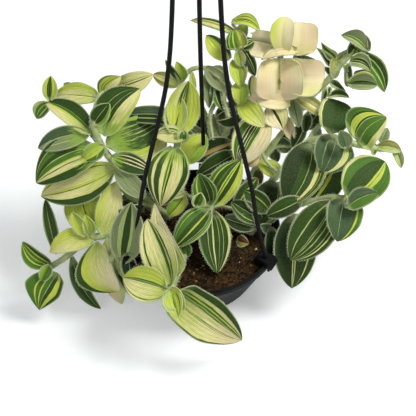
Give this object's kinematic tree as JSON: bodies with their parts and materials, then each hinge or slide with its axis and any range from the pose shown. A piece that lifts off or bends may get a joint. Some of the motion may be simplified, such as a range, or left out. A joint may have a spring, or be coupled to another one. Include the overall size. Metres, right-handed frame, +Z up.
{
  "type": "hanging potted tradescantia",
  "caption": "Bushy trailing house plant with broad cream-and-green striped leaves, in a shallow black pot that hangs from a hook on strands clipped to its rim.",
  "frame": {"origin": "the inner top of the hook's bend, where the rod, nail or bracket that carries the pot bears; on the pot's own vertical axis", "axes": "+Z up along the pot's axis, -Y towards the front of the plant, +X to the right as seen from the front"},
  "size_m": [0.2603, 0.2027, 0.3539],
  "materials": {
    "pot_plastic": "smooth, semi-matt black",
    "hanger_plastic": "smooth moulded black",
    "soil": "loose dark brown potting mix with pale grit",
    "stem": "soft, pale green and hairy",
    "left_high_leaf": "soft, striped dark green, yellow-green and cream, hairy",
    "crest_leaf": "soft, striped cream and green, hairy",
    "centre_leaf": "soft, mid green with fine pale lines, hairy",
    "front_leaf": "soft, cream with green stripes, hairy",
    "left_low_leaf": "soft, yellow-green and cream, hairy",
    "left_inner_leaf": "soft, dark green with pale curved stripes, hairy",
    "pale_leaf": "soft, pinkish cream to ivory, hairy",
    "top_leaf": "soft, yellow-green and cream, hairy",
    "far_right_leaf": "soft, olive green with a pale midline, hairy",
    "right_high_leaf": "soft, dark green with cream and yellow stripes, hairy",
    "right_low_leaf": "soft, dark green with cream lines, hairy"
  },
  "bodies": {
    "root": {"pot": "pot_plastic", "soil": "soil", "clip_back": "hanger_plastic", "strand_back": "hanger_plastic", "clip_left": "hanger_plastic", "strand_left": "hanger_plastic", "clip_right": "hanger_plastic", "strand_right": "hanger_plastic", "hanger_hub": "hanger_plastic", "hanger_hook": "hanger_plastic", "left_high_stem": "stem", "left_high_leaf_1": "left_high_leaf", "left_high_leaf_2": "left_high_leaf", "left_high_leaf_3": "left_high_leaf", "left_high_leaf_4": "left_high_leaf", "left_high_leaf_5": "left_high_leaf", "left_high_leaf_6": "left_high_leaf", "crest_stem": "stem", "crest_leaf_1": "crest_leaf", "crest_leaf_2": "crest_leaf", "centre_stem": "stem", "centre_leaf_1": "centre_leaf", "centre_leaf_2": "centre_leaf", "centre_leaf_3": "centre_leaf", "centre_leaf_4": "centre_leaf", "front_stem": "stem", "front_leaf_1": "front_leaf", "front_leaf_2": "front_leaf", "front_leaf_3": "front_leaf", "front_leaf_4": "front_leaf", "left_low_stem": "stem", "left_low_leaf_1": "left_low_leaf", "left_low_leaf_2": "left_low_leaf", "left_low_leaf_3": "left_low_leaf", "left_low_leaf_4": "left_low_leaf", "left_low_leaf_5": "left_low_leaf", "left_inner_stem": "stem", "left_inner_leaf_1": "left_inner_leaf", "pale_stem": "stem", "pale_leaf_1": "pale_leaf", "pale_leaf_2": "pale_leaf", "pale_leaf_3": "pale_leaf", "pale_leaf_4": "pale_leaf", "pale_leaf_5": "pale_leaf", "top_stem": "stem", "top_leaf_1": "top_leaf", "top_leaf_2": "top_leaf", "far_right_stem": "stem", "far_right_leaf_1": "far_right_leaf", "right_high_stem": "stem", "right_high_leaf_1": "right_high_leaf", "right_high_leaf_2": "right_high_leaf", "right_high_leaf_3": "right_high_leaf", "right_high_leaf_4": "right_high_leaf", "right_high_leaf_5": "right_high_leaf", "right_low_stem": "stem", "right_low_leaf_1": "right_low_leaf", "right_low_leaf_2": "right_low_leaf", "right_low_leaf_3": "right_low_leaf", "right_low_leaf_4": "right_low_leaf"}
  },
  "joints": []
}
